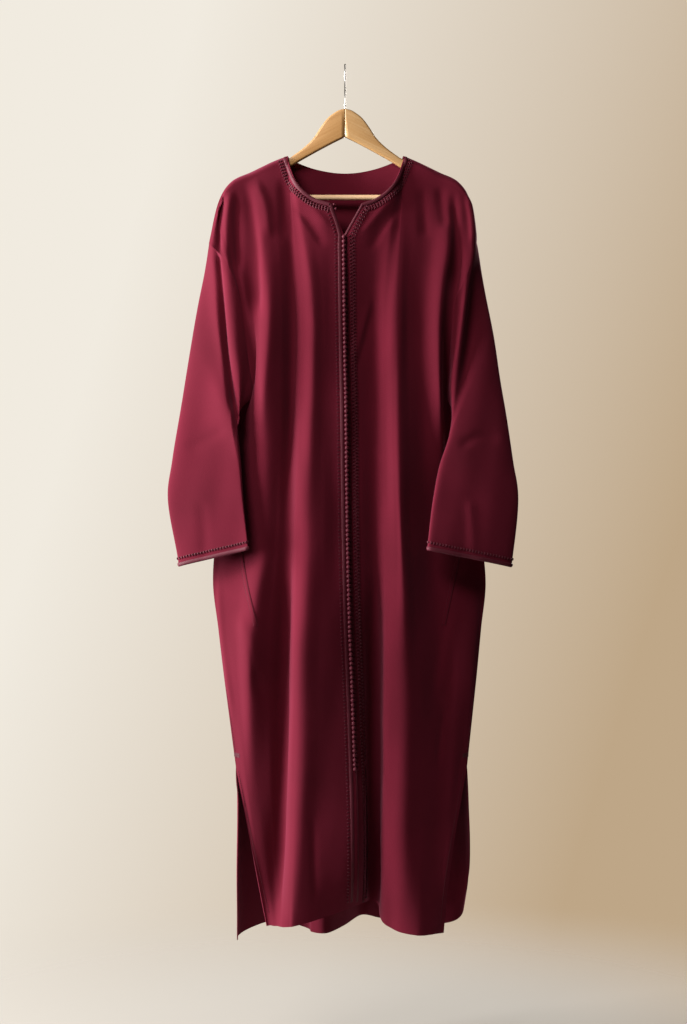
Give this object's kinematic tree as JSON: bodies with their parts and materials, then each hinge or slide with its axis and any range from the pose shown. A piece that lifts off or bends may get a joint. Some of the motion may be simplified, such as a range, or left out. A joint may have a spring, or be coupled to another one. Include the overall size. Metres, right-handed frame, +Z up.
{
  "type": "gandoura on a wooden hanger",
  "caption": "Long wide gandoura with dropped shoulders, braided neck and front bands, a row of knot buttons and side vents, hung on a wooden hanger with a wire hook.",
  "frame": {"origin": "inside of the top of the hanger hook's bend, where a rail carries it", "axes": "+Z up, -Y towards the front of the garment, +X towards the right of someone who looks at the front"},
  "size_m": [0.651, 0.1984, 1.6319],
  "materials": {
    "wool": "burgundy woollen twill with a soft matt face",
    "braid": "silk-like braid and knotted cord in the cloth's colour",
    "beech": "clear satin lacquer on pale beech",
    "steel": "drawn steel wire"
  },
  "bodies": {
    "root": {"front_left": "wool", "front_right": "wool", "back": "wool", "sleeve_left": "wool", "sleeve_right": "wool", "pocket_welt_left": "wool", "pocket_welt_right": "wool", "cuff_trim_left": "braid", "cuff_trim_right": "braid", "neck_trim_left": "braid", "neck_trim_right": "braid", "neck_trim_back": "braid", "front_trim_left": "braid", "front_trim_right": "braid", "button_row": "braid", "loose_knot_upper": "braid", "loose_knot_lower": "braid", "hanger_arm_left": "beech", "hanger_arm_right": "beech", "hanger_bar": "beech", "hook": "steel"}
  },
  "joints": []
}
